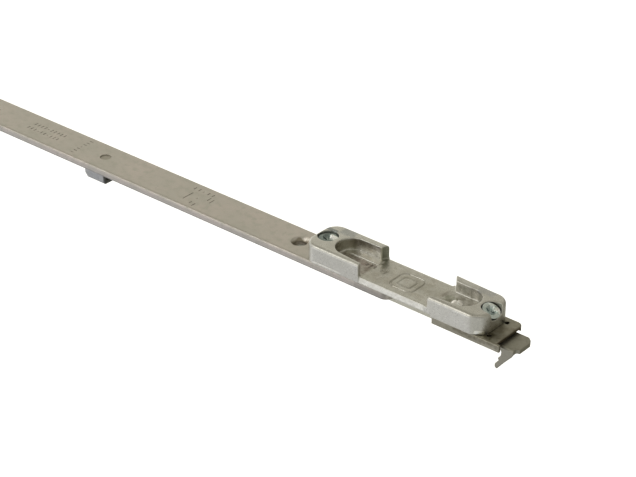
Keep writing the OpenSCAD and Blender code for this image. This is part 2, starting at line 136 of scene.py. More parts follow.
def poly2(x, y, pts):
    """Signed distance to a polygon."""
    x, y = np.broadcast_arrays(x, y)
    d = np.full(x.shape, 1e9, np.float32)
    s = np.ones(x.shape, np.float32)
    n = len(pts)
    for i in range(n):
        ax, ay = pts[i]
        bx, by = pts[i - 1]
        ex, ey = bx - ax, by - ay
        wx, wy = x - ax, y - ay
        t = np.clip((wx * ex + wy * ey) / (ex * ex + ey * ey), 0, 1)
        d = np.minimum(d, (wx - ex * t) ** 2 + (wy - ey * t) ** 2)
        c1, c2, c3 = y >= ay, y < by, ex * wy > ey * wx
        s = np.where((c1 & c2 & c3) | (~c1 & ~c2 & ~c3), -s, s)
    return s * np.sqrt(d)


def disc(x, y, cx, cy, r):
    return np.sqrt((x - cx) ** 2 + (y - cy) ** 2) - r


def lift(d2, z, z0, z1, top=0.0, bot=0.0):
    """The outline d2 raised from z0 to z1, with rounded top and bottom edges."""
    def one(q, f):
        if f <= 0:
            return np.maximum(d2, q)
        a, b = d2 + f, q + f
        return np.sqrt(np.maximum(a, 0) ** 2 + np.maximum(b, 0) ** 2) + np.minimum(np.maximum(a, b), 0) - f
    return np.maximum(one(z - z1, top), one(z0 - z, bot))


def surface_nets(F, lo, h):
    S = F < 0
    c = np.zeros(tuple(n - 1 for n in F.shape), np.uint8)
    for dx in (0, 1):
        for dy in (0, 1):
            for dz in (0, 1):
                c += S[dx:F.shape[0] - 1 + dx, dy:F.shape[1] - 1 + dy, dz:F.shape[2] - 1 + dz]
    act = (c > 0) & (c < 8)
    I, J, K = np.nonzero(act)
    idx = np.full(act.shape, -1, np.int64)
    idx[I, J, K] = np.arange(len(I))
    acc = np.zeros((len(I), 3))
    cnt = np.zeros(len(I))
    corners = [(0, 0, 0), (1, 0, 0), (0, 1, 0), (1, 1, 0), (0, 0, 1), (1, 0, 1), (0, 1, 1), (1, 1, 1)]
    val = [F[I + a, J + b, K + d] for a, b, d in corners]
    for a in range(8):
        for b in range(a + 1, 8):
            pa, pb = np.array(corners[a]), np.array(corners[b])
            if np.abs(pa - pb).sum() != 1:
                continue
            m = (val[a] < 0) != (val[b] < 0)
            t = (val[a][m] / (val[a][m] - val[b][m]))[:, None]
            acc[m] += pa + t * (pb - pa)
            cnt[m] += 1
    V = np.array(lo)[None, :] + h * (np.stack([I, J, K], 1) + acc / cnt[:, None])
    quads = []
    for ax in range(3):
        b, d = (ax + 1) % 3, (ax + 2) % 3
        sl = [slice(1, -1)] * 3
        lo_s, hi_s = list(sl), list(sl)
        lo_s[ax], hi_s[ax] = slice(0, -1), slice(1, None)
        m = S[tuple(lo_s)] != S[tuple(hi_s)]
        P = list(np.nonzero(m))
        P[b] = P[b] + 1
        P[d] = P[d] + 1
        inside = S[P[0], P[1], P[2]]

        def at(db, dd):
            q = list(P)
            q[b] = P[b] + db
            q[d] = P[d] + dd
            return idx[q[0], q[1], q[2]]
        quad = np.stack([at(-1, -1), at(0, -1), at(0, 0), at(-1, 0)], 1)
        quad[~inside] = quad[~inside][:, ::-1]
        quads.append(quad)
    return V, np.concatenate(quads)


def mesh_from(V, Q, name):
    me = bpy.data.meshes.new(name)
    me.vertices.add(len(V))
    me.vertices.foreach_set("co", (V * MM).astype(np.float32).ravel())
    me.loops.add(len(Q) * 4)
    me.loops.foreach_set("vertex_index", Q.astype(np.int32).ravel())
    me.polygons.add(len(Q))
    me.polygons.foreach_set("loop_start", np.arange(len(Q), dtype=np.int32) * 4)
    me.polygons.foreach_set("loop_total", np.full(len(Q), 4, np.int32))
    me.update(calc_edges=True)
    me.validate()
    return me


def field_piece(name, field, lo, hi, h, keep=0.4, flat=1.0):
    """A mesh of the zero surface of field(X, Y, Z), with its flat areas made light."""
    X, Y, Z = axes(lo, hi, h)
    F = np.ascontiguousarray(np.broadcast_to(field(X, Y, Z), (X.shape[0], Y.shape[1], Z.shape[2])), dtype=np.float32)
    V, Q = surface_nets(F, lo, h)
    me = mesh_from(V, Q, name)
    ob = bpy.data.objects.new(name, me)
    scene.collection.objects.link(ob)
    me.polygons.foreach_set("use_smooth", np.ones(len(me.polygons), bool))
    if keep < 1:
        mod = ob.modifiers.new("light", "DECIMATE")
        mod.ratio = keep
        dg = bpy.context.evaluated_depsgraph_get()
        dg.update()
        me2 = bpy.data.meshes.new_from_object(ob.evaluated_get(dg))
        ob.modifiers.clear()
        ob.data = me2
        me2.name = name
        bpy.data.meshes.remove(me)
    ob.data.polygons.foreach_set("use_smooth", np.ones(len(ob.data.polygons), bool))
    return ob


# --------------------------------------------------------------------------
# Copies of the machined and punched CAD pieces with broken edges
# --------------------------------------------------------------------------
def soft_copy(node, width, segments=2, angle=26.0, name=None):
    src = NODES[node].data
    bm = bmesh.new()
    bm.from_mesh(src)
    bmesh.ops.remove_doubles(bm, verts=bm.verts, dist=2e-6)
    bmesh.ops.dissolve_limit(bm, angle_limit=math.radians(0.4), verts=bm.verts, edges=bm.edges)
    sharp = [e for e in bm.edges if len(e.link_faces) == 2 and e.calc_face_angle(0) > math.radians(angle)]
    bmesh.ops.bevel(bm, geom=sharp, offset=width * MM, offset_type="OFFSET", segments=segments,
                    profile=0.5, affect="EDGES", clamp_overlap=False, loop_slide=True)
    bmesh.ops.remove_doubles(bm, verts=bm.verts, dist=1e-6)
    for f in bm.faces:
        f.smooth = True
    me = bpy.data.meshes.new(name or node + "_piece")
    bm.to_mesh(me)
    bm.free()
    ob = bpy.data.objects.new(name or node + "_piece", me)
    scene.collection.objects.link(ob)
    mod = ob.modifiers.new("normals", "WEIGHTED_NORMAL")
    mod.keep_sharp = True
    mod.weight = 60
    return ob


def fit(ob, node, material, also=()):
    ob.data.materials.clear()
    ob.data.materials.append(material)
    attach(ob, BODY[node])
    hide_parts(node, *also)
    return ob


# --------------------------------------------------------------------------
# Materials
# --------------------------------------------------------------------------
class Tree:
    """A short hand for building a node tree."""

    def __init__(self, name):
        self.mat = bpy.data.materials.new(name)
        self.mat.use_nodes = True
        self.nt = self.mat.node_tree
        self.nt.nodes.clear()
        self.out = self.nt.nodes.new("ShaderNodeOutputMaterial")
        self.sh = self.nt.nodes.new("ShaderNodeBsdfPrincipled")
        self.link(self.sh.outputs[0], self.out.inputs[0])
        tc = self.nt.nodes.new("ShaderNodeTexCoord")
        self.co = self.vec("SCALE", tc.outputs["Object"], scale=1000.0)

    def link(self, a, b):
        self.nt.links.new(a, b)

    def put(self, sock, v):
        if isinstance(v, bpy.types.NodeSocket):
            self.link(v, sock)
        elif isinstance(v, (tuple, list)) and len(v) == 3 and sock.type == "RGBA":
            sock.default_value = (*v, 1)
        else:
            sock.default_value = v

    def vec(self, op, a, b=None, scale=None):
        n = self.nt.nodes.new("ShaderNodeVectorMath")
        n.operation = op
        self.put(n.inputs[0], a)
        if b is not None:
            self.put(n.inputs[1], b)
        if scale is not None:
            self.put(n.inputs[3], scale)
        return n.outputs[1] if op in ("DOT_PRODUCT", "LENGTH") else n.outputs[0]

    def math(self, op, a, b=0.0, clamp=False):
        n = self.nt.nodes.new("ShaderNodeMath")
        n.operation = op
        n.use_clamp = clamp
        self.put(n.inputs[0], a)
        self.put(n.inputs[1], b)
        return n.outputs[0]

    def noise(self, scale, detail=3.0, rough=0.55, co=None, distort=0.0):
        n = self.nt.nodes.new("ShaderNodeTexNoise")
        self.link(co or self.co, n.inputs["Vector"])
        n.inputs["Scale"].default_value = scale
        n.inputs["Detail"].default_value = detail
        n.inputs["Roughness"].default_value = rough
        n.inputs["Distortion"].default_value = distort
        return n.outputs[0]

    def voronoi(self, scale, feature="F1", co=None, random=1.0):
        n = self.nt.nodes.new("ShaderNodeTexVoronoi")
        n.feature = feature
        self.link(co or self.co, n.inputs["Vector"])
        n.inputs["Scale"].default_value = scale
        n.inputs["Randomness"].default_value = random
        return n.outputs["Distance"]

    def stretch(self, v, turn=(0, 0, 0)):
        n = self.nt.nodes.new("ShaderNodeMapping")
        self.link(self.co, n.inputs["Vector"])
        n.inputs["Rotation"].default_value = [math.radians(t) for t in turn]
        n.inputs["Scale"].default_value = v
        return n.outputs[0]

    def ramp(self, v, a, b, lo=0.0, hi=1.0, smooth=True):
        n = self.nt.nodes.new("ShaderNodeMapRange")
        n.interpolation_type = "SMOOTHSTEP" if smooth else "LINEAR"
        self.put(n.inputs[0], v)
        for i, x in enumerate((a, b, lo, hi)):
            self.put(n.inputs[i + 1], x)
        return n.outputs[0]

    def mix(self, f, a, b, blend="MIX"):
        n = self.nt.nodes.new("ShaderNodeMix")
        n.data_type = "RGBA"
        n.blend_type = blend
        self.put(n.inputs[0], f)
        self.put(n.inputs[6], a)
        self.put(n.inputs[7], b)
        return n.outputs[2]

    def edge(self, radius):
        """1 on convex and concave edges within radius mm, 0 on flats."""
        bev = self.nt.nodes.new("ShaderNodeBevel")
        bev.samples = 6
        bev.inputs["Radius"].default_value = radius * MM
        geo = self.nt.nodes.new("ShaderNodeNewGeometry")
        d = self.vec("DOT_PRODUCT", bev.outputs[0], geo.outputs["Normal"])
        return self.math("SUBTRACT", 1.0, d, clamp=True)

    def hollow(self, dist):
        """1 in tight corners and holes, 0 in the open."""
        ao = self.nt.nodes.new("ShaderNodeAmbientOcclusion")
        ao.samples = 6
        ao.only_local = False
        ao.inputs["Distance"].default_value = dist * MM
        return self.math("SUBTRACT", 1.0, ao.outputs["AO"], clamp=True)

    def zone(self, box, soft):
        n = self.nt.nodes.new("ShaderNodeSeparateXYZ")
        w = self.nt.nodes.new("ShaderNodeTexNoise")
        self.link(self.co, w.inputs["Vector"])
        w.inputs["Scale"].default_value = 0.45
        w.inputs["Detail"].default_value = 3
        wob = self.vec("SCALE", self.vec("SUBTRACT", w.outputs["Color"], (0.5, 0.5, 0.5)), scale=soft * 1.2)
        self.link(self.vec("ADD", self.co, wob), n.inputs[0])
        m = None
        for i in range(3):
            lo, hi = box[2 * i], box[2 * i + 1]
            for a, b in ((lo - soft / 2, lo + soft / 2), (hi + soft / 2, hi - soft / 2)):
                if abs(a) > 900:
                    continue
                r = self.ramp(n.outputs[i], min(a, b), max(a, b), 0.0 if a < b else 1.0, 1.0 if a < b else 0.0)
                m = r if m is None else self.math("MULTIPLY", m, r)
        return m

    def bump(self, h, dist_mm, strength=1.0, normal=None):
        n = self.nt.nodes.new("ShaderNodeBump")
        n.inputs["Strength"].default_value = strength
        n.inputs["Distance"].default_value = dist_mm * MM
        self.link(h, n.inputs["Height"])
        if normal is not None:
            self.link(normal, n.inputs["Normal"])
        return n.outputs[0]


def metal(name, base, warm, dark, rough=0.4, spread=0.1, metallic=1.0, grain=4.0, grain_mm=0.006,
          brush=None, brush_amt=0.0, blotch=0.12, blotch_amt=0.35, edge_r=0.35, edge_col=None, edge_amt=0.5,
          edge_rough=-0.1, dirt_shade_amt=0.8, dirt_shade_mm=1.6, dirt_shade_col=(0.05, 0.045, 0.035), scratch=0.3, pits=0.0,
          pit_scale=1.6, speckle=0.0, zones=()):
    t = Tree(name)
    # cloudy plating
    big = t.noise(blotch, 4, 0.6, distort=0.6)
    mid = t.noise(blotch * 5.5, 3, 0.55)
    fine = t.noise(grain, 3, 0.65)
    cloud = t.math("ADD", t.math("MULTIPLY", big, 0.65), t.math("MULTIPLY", mid, 0.35))
    col = t.mix(t.ramp(cloud, 0.36, 0.64), base, warm)
    col = t.mix(t.math("MULTIPLY", t.ramp(mid, 0.45, 0.7), blotch_amt), col, dark)
    # fine grain lightens and darkens by a little
    g = t.ramp(fine, 0.3, 0.7, -1.0, 1.0)
    tone = t.math("ADD", 1.0, t.math("MULTIPLY", g, 0.05 + speckle))
    height = t.math("MULTIPLY", fine, 1.0)
    rgh = t.math("ADD", rough, t.math("MULTIPLY", t.ramp(mid, 0.3, 0.7, -0.5, 0.5), spread))
    rgh = t.math("ADD", rgh, t.math("MULTIPLY", g, 0.04))
    if brush:
        s = {"X": (0.035, 5.0, 5.0), "Y": (5.0, 0.035, 5.0), "Z": (5.0, 5.0, 0.035)}[brush]
        br = t.noise(1.0, 3, 0.6, co=t.stretch(s))
        brd = t.ramp(br, 0.3, 0.7, -1.0, 1.0)
        tone = t.math("ADD", tone, t.math("MULTIPLY", brd, 0.06 * brush_amt))
        rgh = t.math("ADD", rgh, t.math("MULTIPLY", brd, 0.05 * brush_amt))
        height = t.math("ADD", height, t.math("MULTIPLY", br, 1.2 * brush_amt))
    if pits:
        vo = t.voronoi(pit_scale, co=None)
        pit = t.math("MULTIPLY", t.ramp(vo, 0.05, 0.28, 1.0, 0.0), t.ramp(t.noise(0.7, 2), 0.5, 0.62))
        tone = t.math("SUBTRACT", tone, t.math("MULTIPLY", pit, 0.25 * pits))
        height = t.math("SUBTRACT", height, t.math("MULTIPLY", pit, 3.0 * pits))
    if scratch:
        # a few long thin scratches in two directions
        total = None
        for turn, at in ((27, 0.0), (-41, 7.3), (78, 3.1)):
            line = t.noise(1.0, 1, 0.4, co=t.stretch((0.10, 3.2, 3.2), (0, 0, turn)))
            s1 = t.ramp(t.math("ABSOLUTE", t.math("SUBTRACT", line, 0.5)), 0.0, 0.012, 1.0, 0.0)
            s1 = t.math("MULTIPLY", s1, t.ramp(t.noise(0.16, 1, 0.5, co=t.vec("ADD", t.co, (at, at, at))), 0.52, 0.66))
            total = s1 if total is None else t.math("MAXIMUM", total, s1)
        tone = t.math("ADD", tone, t.math("MULTIPLY", total, 0.22 * scratch))
        height = t.math("SUBTRACT", height, t.math("MULTIPLY", total, 1.5 * scratch))
        rgh = t.math("SUBTRACT", rgh, t.math("MULTIPLY", total, 0.08))
    col = t.mix(1.0, col, t.grey(tone), "MULTIPLY")
    for zone in zones:
        # patches of painted shade and painted highlights, and some stains: box in mm, soft border, colour factor,
        # amount
        m = t.zone(*zone[:2])
        if len(zone) > 4:
            m = t.math("MULTIPLY", m, t.ramp(t.noise(zone[4], 3, 0.6), 0.36, 0.62, 0.35, 1.0))
        col = t.mix(t.math("MULTIPLY", m, zone[3]), col, t.mix(1.0, col, zone[2], "MULTIPLY"))
    if zones:
        # no metal reflects more than it gets
        col = t.mix(1.0, col, (0.96, 0.96, 0.96), "DARKEN")
    # dirt and painted shade in corners and hollows; along the edges, plating rubbed off together with a painted edge
    # highlight
    hol = t.hollow(dirt_shade_mm)
    dirt_and_shade = t.math("MULTIPLY", t.ramp(hol, 0.35, 0.95), t.math("MULTIPLY", dirt_shade_amt, t.ramp(mid, 0.2, 0.75, 0.55, 1.0)), clamp=True)
    # edges lighter: plating rubbed off, and a painted edge highlight
    rub_and_highlight = t.math("MULTIPLY", t.ramp(t.edge(edge_r), 0.01, 0.16), t.ramp(mid, 0.3, 0.62, 0.35, 1.0))
    rub_and_highlight = t.math("MULTIPLY", rub_and_highlight, t.math("SUBTRACT", edge_amt, t.math("MULTIPLY", dirt_and_shade, edge_amt)), clamp=True)
    col = t.mix(rub_and_highlight, col, edge_col or (0.86, 0.86, 0.84))
    col = t.mix(dirt_and_shade, col, dirt_shade_col)
    rgh = t.math("ADD", rgh, t.math("MULTIPLY", rub_and_highlight, edge_rough))
    rgh = t.math("ADD", rgh, t.math("MULTIPLY", dirt_and_shade, 0.18), clamp=True)
    t.put(t.sh.inputs["Base Color"], col)
    t.put(t.sh.inputs["Roughness"], rgh)
    t.sh.inputs["Metallic"].default_value = metallic
    t.put(t.sh.inputs["Normal"], t.bump(height, grain_mm))
    return t.mat


def _grey(self, v):
    n = self.nt.nodes.new("ShaderNodeCombineColor")
    for i in range(3):
        self.put(n.inputs[i], v)
    return n.outputs[0]


Tree.grey = _grey


def plastic(name):
    t = Tree(name)
    fine = t.noise(7.0, 3, 0.6)
    mid = t.noise(0.5, 3, 0.5)
    col = t.mix(t.ramp(mid, 0.35, 0.65), (0.018, 0.018, 0.019), (0.03, 0.03, 0.031))
    # edges lighter: rubbed, and a painted edge highlight
    rub_and_highlight = t.math("MULTIPLY", t.ramp(t.edge(0.3), 0.01, 0.2), 0.5)
    col = t.mix(rub_and_highlight, col, (0.09, 0.09, 0.09))
    t.put(t.sh.inputs["Base Color"], col)
    t.put(t.sh.inputs["Roughness"], t.ramp(fine, 0.3, 0.7, 0.42, 0.56))
    t.put(t.sh.inputs["Normal"], t.bump(fine, 0.012))
    return t.mat


def make_materials():
    m = {}
    m["faceplate_steel"] = metal("faceplate_steel", (0.565, 0.54, 0.495), (0.635, 0.58, 0.54), (0.54, 0.53, 0.475),
                                 rough=0.44, spread=0.10, grain=3.2, grain_mm=0.005, brush="X", brush_amt=0.35,
                                 blotch=0.065, blotch_amt=0.75, edge_amt=0.06, scratch=0.25, pits=0.4,
                                 # painted shade in the countersunk fixing hole
                                 zones=[((204.8, 209.6, -2.6, 2.4, -1, 2.45), 0.5, (0.49, 0.46, 0.40), 0.95),
                                        # painted highlight on that hole's rim
                                        ((206.8, 210.2, 1.5, 3.5, 1.9, 2.8), 0.7, (1.75, 1.75, 1.78), 0.9, 1.1),
                                        # painted shade on the front side, darker under the striker and along its bottom
                                        # edge, and the lower part darker all round
                                        ((-999, 999, -9, -7.45, 0.8, 2.35), 0.35, (0.78, 0.77, 0.79), 0.95),
                                        ((238, 275, -9, -7.3, -0.5, 2.7), 0.8, (0.76, 0.76, 0.76), 0.9),
                                        ((-999, 999, -9, -7.8, -0.3, 0.5), 0.4, (0.62, 0.62, 0.66), 0.95),
                                        ((-999, 999, -9, 9, -1, 0.9), 0.7, (0.82, 0.82, 0.84), 0.8)])
    m["striker_zinc"] = metal("striker_zinc", (0.60, 0.59, 0.55), (0.64, 0.63, 0.60), (0.52, 0.51, 0.47),
                              rough=0.34, spread=0.12, grain=2.2, grain_mm=0.006, blotch=0.16, blotch_amt=0.35,
                              edge_amt=0.35, edge_r=0.35, scratch=1.0, pits=0.8, dirt_shade_amt=0.75, dirt_shade_mm=1.8, speckle=0.03,
                              zones=[((238, 268.5, -7.4, 7.2, 4.2, 5.3), 3.0, (0.63, 0.59, 0.52), 0.9, 0.35),
                                     # painted shade on the walls of the left pocket
                                     ((224, 236.5, -6.6, 5.7, 5.9, 8.9), 0.9, (0.66, 0.62, 0.55), 0.75, 0.3),
                                     # painted shade on the left pocket's end wall
                                     ((224, 228.5, -6.6, 5.7, 5.5, 9.2), 1.2, (0.66, 0.66, 0.58), 0.9),
                                     # painted shade on the end of the left block's rear wall
                                     ((238.9, 241, 5.4, 9, 4.95, 9.5), 0.3, (0.46, 0.48, 0.41), 0.95),
                                     # painted shade, bluish, on the top behind the left screw's seat
                                     ((221.5, 227.2, 3.9, 8.4, 9.3, 9.9), 1.2, (0.56, 0.60, 0.66), 0.85),
                                     ((226, 240, -6.0, 1.6, 4.2, 5.4), 1.4, (0.515, 0.44, 0.43), 0.95, 0.5),
                                     # painted highlight on the rear wall's inner corner
                                     ((238.5, 239.5, 4.6, 5.9, 5.2, 9.6), 0.3, (1.35, 1.35, 1.30), 1.0),
                                     ((268, 284.3, -7.0, 4.7, 4.2, 5.2), 1.5, (0.455, 0.425, 0.38), 0.95, 0.35),
                                     # painted shade: a dark reflection on the right pocket's rear inner wall
                                     ((271.0, 276.5, 4.3, 5.9, 5.6, 8.4), 1.4, (0.52, 0.52, 0.50), 0.85, 0.6),
                                     # painted shadow beside the guide stud
                                     ((269.6, 273.6, -1.2, 2.4, 4.6, 5.2), 1.0, (0.52, 0.56, 0.44), 0.9, 1.2),
                                     ((279.0, 283.0, -2.6, 1.2, 7.6, 9.2), 1.0, (0.62, 0.62, 0.56), 0.9, 1.3),
                                     # painted shade low on the striker's right end face
                                     ((290.1, 292.0, -9, 9, 1.0, 3.0), 0.7, (0.55, 0.54, 0.44), 0.8, 0.8),
                                     # painted shade: the top of the right block a little darker
                                     ((268, 292, -9, 9, 8.2, 9.3), 1.0, (0.86, 0.85, 0.84), 0.9),
                                     # painted shade on the left block's front face
                                     ((214, 239.6, -9, -7.9, 2.8, 9.0), 0.5, (0.88, 0.88, 0.88), 0.9),
                                     # painted reflection: the left block's front rim darker in patches, which breaks up
                                     # its highlight
                                     ((214, 239.6, -9, -8.0, 8.9, 10), 0.25, (0.82, 0.82, 0.82), 0.95, 2.2),
                                     # painted shade, bluish, on the rear of the right block's top
                                     ((279, 285.5, 4.8, 8.2, 8.2, 9.3), 1.2, (0.82, 0.84, 0.90), 0.85),
                                     # painted highlight on the right block's lower front corner
                                     ((287.6, 290.6, -9, -5.6, 2.0, 3.3), 0.5, (1.8, 1.8, 1.75), 0.9),
                                     ((256, 267, -3, 3.5, 4.2, 5.3), 2.0, (0.85, 0.85, 0.83), 0.9),
                                     # painted shadow on the top just behind the left screw's seat
                                     ((216, 221, 3.2, 4.6, 9.3, 9.9), 0.35, (0.50, 0.54, 0.58), 0.9)])
    m["screw_dark"] = metal("screw_dark", (0.25, 0.30, 0.29), (0.33, 0.375, 0.36), (0.14, 0.18, 0.18),
                            # painted highlight on the left screw's head
                            rough=0.26, zones=[((219.7, 222.8, -0.5, 2.2, 7, 9.5), 0.7, (4.2, 3.8, 3.7), 1.0),
                                                # painted shade on the left side of its head
                                                ((216, 219.0, -4, 4, 7, 9.5), 1.0, (0.62, 0.64, 0.66), 0.9, 0.7)], dirt_shade_amt=0.5, dirt_shade_mm=0.9, spread=0.1, grain=5, grain_mm=0.004, blotch=0.5, edge_amt=0.4,
                            edge_col=(0.6, 0.66, 0.66), scratch=0.3)
    m["screw_bright"] = metal("screw_bright", (0.55, 0.63, 0.62), (0.72, 0.77, 0.76), (0.38, 0.46, 0.45),
                              # painted highlight on the leaning screw's head
                              rough=0.28, zones=[((288.6, 292, 1.2, 4, 6, 9.5), 0.5, (1.6, 1.55, 1.5), 1.0),
                                                ((285.2, 288.2, 1.0, 4, 6, 9.5), 0.5, (1.45, 1.5, 1.5), 1.0),
                                                # painted shade in the middle of that head
                                                ((287, 289.3, -1.3, 0.9, 6, 9.5), 0.5, (0.70, 0.72, 0.74), 0.8),
                                                # painted highlight on the guide stud's dome
                                                ((272, 278, -3, 3, 4.8, 6.2), 0.5, (1.5, 1.3, 1.28), 1.0)], dirt_shade_amt=0.5, dirt_shade_mm=0.9, spread=0.1, grain=5, grain_mm=0.004, blotch=0.5, edge_amt=0.5,
                              edge_col=(0.92, 0.94, 0.94), scratch=0.3)
    m["sleeve_steel"] = metal("sleeve_steel", (0.30, 0.285, 0.235), (0.34, 0.32, 0.265), (0.22, 0.205, 0.16),
                              rough=0.42, spread=0.12, grain=3, grain_mm=0.007, blotch=0.2, edge_amt=0.2,
                              scratch=0.5, pits=0.6, dirt_shade_amt=0.95, dirt_shade_mm=2.4,
                              # painted shadow of the striker on the sleeve's top
                              zones=[((289.5, 297.8, -5.5, 3.0, 0.9, 2.2), 2.0, (0.55, 0.50, 0.44), 0.85, 0.3),
                                     # painted shade on the sleeve's end and under it
                                     ((294.8, 299, -7.7, 9, -2, 1.45), 0.5, (0.40, 0.31, 0.24), 0.95),
                                     # painted shade in the two small holes
                                     ((290.2, 292.6, -6.0, -3.8, 0.4, 1.74), 0.3, (0.14, 0.12, 0.09), 1.0),
                                     ((290.2, 292.6, 3.8, 6.0, 0.4, 1.74), 0.3, (0.14, 0.12, 0.09), 1.0),
                                     # painted shade at the foot of the striker's end
                                     ((288.8, 293.2, -7.0, -3.2, 1.3, 2.2), 0.8, (0.42, 0.40, 0.30), 0.9, 1.3),
                                     # painted shade on the sleeve's front side
                                     ((279, 297, -9, -7.85, 0.2, 1.6), 0.6, (0.50, 0.48, 0.43), 0.95, 0.8),
                                     # painted highlight low on the front side near the end
                                     ((290.5, 296, -9, -7.85, -1.5, 0.9), 0.6, (1.35, 1.35, 1.4), 0.9)])
    m["block_zinc"] = metal("block_zinc", (0.355, 0.36, 0.38), (0.435, 0.44, 0.455), (0.23, 0.235, 0.255),
                            rough=0.48, spread=0.12, grain=3.2, grain_mm=0.03, blotch=0.4, edge_amt=0.5,
                            scratch=0.3, pits=1.0, speckle=0.07,
                            # painted shade on the ends of the guide blocks
                            zones=[((116.4, 118.5, -9, 9, -6, 0.2), 0.4, (0.42, 0.42, 0.42), 1.0),
                                   ((-98.5, -97.4, -9, 9, -6, 0.2), 0.4, (0.42, 0.42, 0.42), 1.0),
                                   # painted shade along the lower front edge
                                   ((-999, 999, -7, -5, -4.9, -4.3), 0.5, (0.5, 0.5, 0.52), 0.85, 0.8)])
    m["rivet_steel"] = metal("rivet_steel", (0.52, 0.50, 0.44), (0.58, 0.56, 0.50), (0.42, 0.40, 0.35),
                             rough=0.4, grain=4, grain_mm=0.008, blotch=0.5, edge_amt=0.25,
                             # painted shade in the rivet's recess
                             zones=[((109, 115, -3, 3, 1.6, 2.5), 0.5, (0.74, 0.72, 0.70), 0.9)])
    m["case_steel"] = metal("case_steel", (0.56, 0.545, 0.49), (0.60, 0.59, 0.54), (0.48, 0.47, 0.42),
                            rough=0.42, spread=0.12, grain=3, grain_mm=0.006, brush="X", brush_amt=0.9,
                            blotch=0.12, edge_amt=0.5, scratch=0.8, pits=0.3)
    m["housing_zinc"] = metal("housing_zinc", (0.58, 0.58, 0.56), (0.63, 0.63, 0.61), (0.50, 0.50, 0.48),
                              rough=0.40, spread=0.12, grain=2.8, grain_mm=0.012, blotch=0.2, edge_amt=0.5,
                              scratch=0.5, pits=0.7)
    m["lever_zinc"] = metal("lever_zinc", (0.60, 0.60, 0.57), (0.65, 0.65, 0.62), (0.52, 0.52, 0.49),
                            rough=0.36, spread=0.14, grain=2.6, grain_mm=0.009, blotch=0.12, edge_amt=0.55,
                            scratch=0.9, pits=0.6)
    m["gear_steel"] = metal("gear_steel", (0.40, 0.40, 0.39), (0.46, 0.455, 0.44), (0.28, 0.28, 0.27),
                            rough=0.34, spread=0.12, grain=3, grain_mm=0.010, blotch=0.3, edge_amt=0.6,
                            dirt_shade_amt=0.95, dirt_shade_mm=1.2, dirt_shade_col=(0.02, 0.017, 0.012), scratch=0.4, pits=0.5)
    m["rod_steel"] = metal("rod_steel", (0.52, 0.51, 0.44), (0.56, 0.545, 0.475), (0.43, 0.415, 0.35),
                           rough=0.42, spread=0.12, grain=3, grain_mm=0.006, brush="X", brush_amt=0.9,
                           blotch=0.15, edge_amt=0.25, scratch=0.6, pits=0.4, dirt_shade_amt=0.95,
                           zones=[((286, 999, -9, 9, -12, 2), 3.0, (0.60, 0.59, 0.58), 1.0),
                                  ((-999, -116, -9, 9, -12, 2), 3.0, (0.60, 0.59, 0.58), 1.0)])
    m["catch_plastic"] = plastic("catch_plastic")
    return m


# --------------------------------------------------------------------------
# Cast, formed and turned pieces
# --------------------------------------------------------------------------
def lean_frame(X, Z):
    """Coordinates along and across the leaning screw's axis."""
    a = math.radians(LEAN)
    dx, dz = X - SCR_R, Z - SCR_RZ
    return dx * math.cos(a) - dz * math.sin(a), dx * math.sin(a) + dz * math.cos(a)


